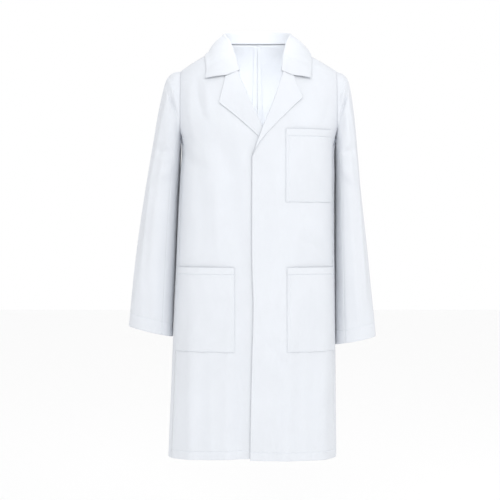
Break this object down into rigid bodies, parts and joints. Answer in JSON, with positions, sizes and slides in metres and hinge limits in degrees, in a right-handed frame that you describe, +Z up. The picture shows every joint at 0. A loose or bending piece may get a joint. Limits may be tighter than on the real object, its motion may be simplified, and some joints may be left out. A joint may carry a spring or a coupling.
{
  "type": "lab coat",
  "caption": "Knee-length white lab coat with notched collar, long sleeves, concealed front fastening, a chest pocket and lower patch pockets.",
  "frame": {"origin": "centre of the neck hole, level with the neck ends of the shoulder seams, where a hanger or a neck carries the coat", "axes": "+X towards the wearer's left, -Y out of the coat's front, +Z up"},
  "size_m": [0.6185, 0.2797, 1.0681],
  "materials": {
    "twill": "smooth matt cotton-polyester twill",
    "button": "gloss"
  },
  "bodies": {
    "coat": {"left_back": "twill", "right_back": "twill", "left_front_chest": "twill", "right_front_chest": "twill", "left_facing_upper": "twill", "right_facing_upper": "twill", "left_lapel": "twill", "right_lapel": "twill", "upper_collar": "twill", "under_collar": "twill", "fly_strip_upper": "twill", "chest_pocket": "twill", "button_1": "button"},
    "left_front": {"left_front_skirt": "twill", "left_facing_lower": "twill", "fly_strip_lower": "twill", "left_pocket": "twill"},
    "right_front": {"right_front_skirt": "twill", "right_facing_lower": "twill", "right_pocket": "twill", "button_2": "button", "button_3": "button", "button_4": "button", "button_5": "button"},
    "left_sleeve": {"left_top_sleeve_upper": "twill", "left_top_sleeve_lower": "twill", "left_under_sleeve": "twill"},
    "right_sleeve": {"right_top_sleeve_upper": "twill", "right_top_sleeve_lower": "twill", "right_under_sleeve": "twill"}
  },
  "joints": [
    {"name": "left_front_open", "type": "hinge", "parent": "coat", "child": "left_front", "pos_m": [0.1881, -0.0469, -0.7068], "axis": [-0.0101, 0.0025, 0.9999], "range_deg": [0, 40]},
    {"name": "right_front_open", "type": "hinge", "parent": "coat", "child": "right_front", "pos_m": [-0.2023, -0.0504, -0.7068], "axis": [0.0385, 0.0096, 0.9992], "range_deg": [-24.5, 0]},
    {"name": "left_sleeve_swing", "type": "hinge", "parent": "coat", "child": "left_sleeve", "pos_m": [0.199, 0.0095, -0.15], "axis": [-1, 0, 0], "range_deg": [-20, 45]},
    {"name": "right_sleeve_swing", "type": "hinge", "parent": "coat", "child": "right_sleeve", "pos_m": [-0.194, 0.0095, -0.15], "axis": [-1, 0, 0], "range_deg": [-20, 45]}
  ],
  "couplings": [
    {"joint": "right_front_open", "follows": "left_front_open", "ratio": -0.6}
  ]
}
